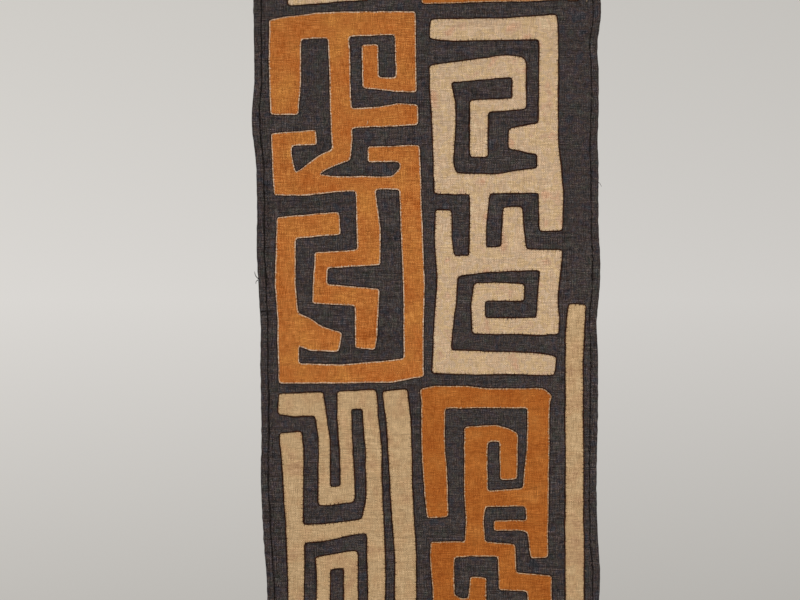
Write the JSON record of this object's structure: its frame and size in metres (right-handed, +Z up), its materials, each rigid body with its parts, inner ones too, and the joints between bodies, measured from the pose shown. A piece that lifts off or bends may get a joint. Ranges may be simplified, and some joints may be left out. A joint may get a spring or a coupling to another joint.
{
  "type": "kuba raffia cloth",
  "caption": "Long dark raffia cloth, hung upright by its top edge, with folded hems and maze-like bars of orange and cream raffia sewn on its front.",
  "frame": {"origin": "middle of the top edge that the cloth hangs from", "axes": "+X to the right as seen from the front, -Y the patterned front, +Z up along the hung length"},
  "size_m": [0.6258, 0.023, 1.365],
  "materials": {
    "dark_raffia": "plain weave, matte",
    "orange_raffia": "plain weave, matte",
    "cream_raffia": "plain weave, matte"
  },
  "bodies": {
    "root": {"ground_cloth": "dark_raffia", "orange_upper": "orange_raffia", "orange_lower": "orange_raffia", "orange_head": "orange_raffia", "cream_upper": "cream_raffia", "cream_lower": "cream_raffia", "cream_arch": "cream_raffia", "cream_post": "cream_raffia", "cream_rail": "cream_raffia", "cream_head": "cream_raffia", "cream_tab": "cream_raffia"}
  },
  "joints": []
}
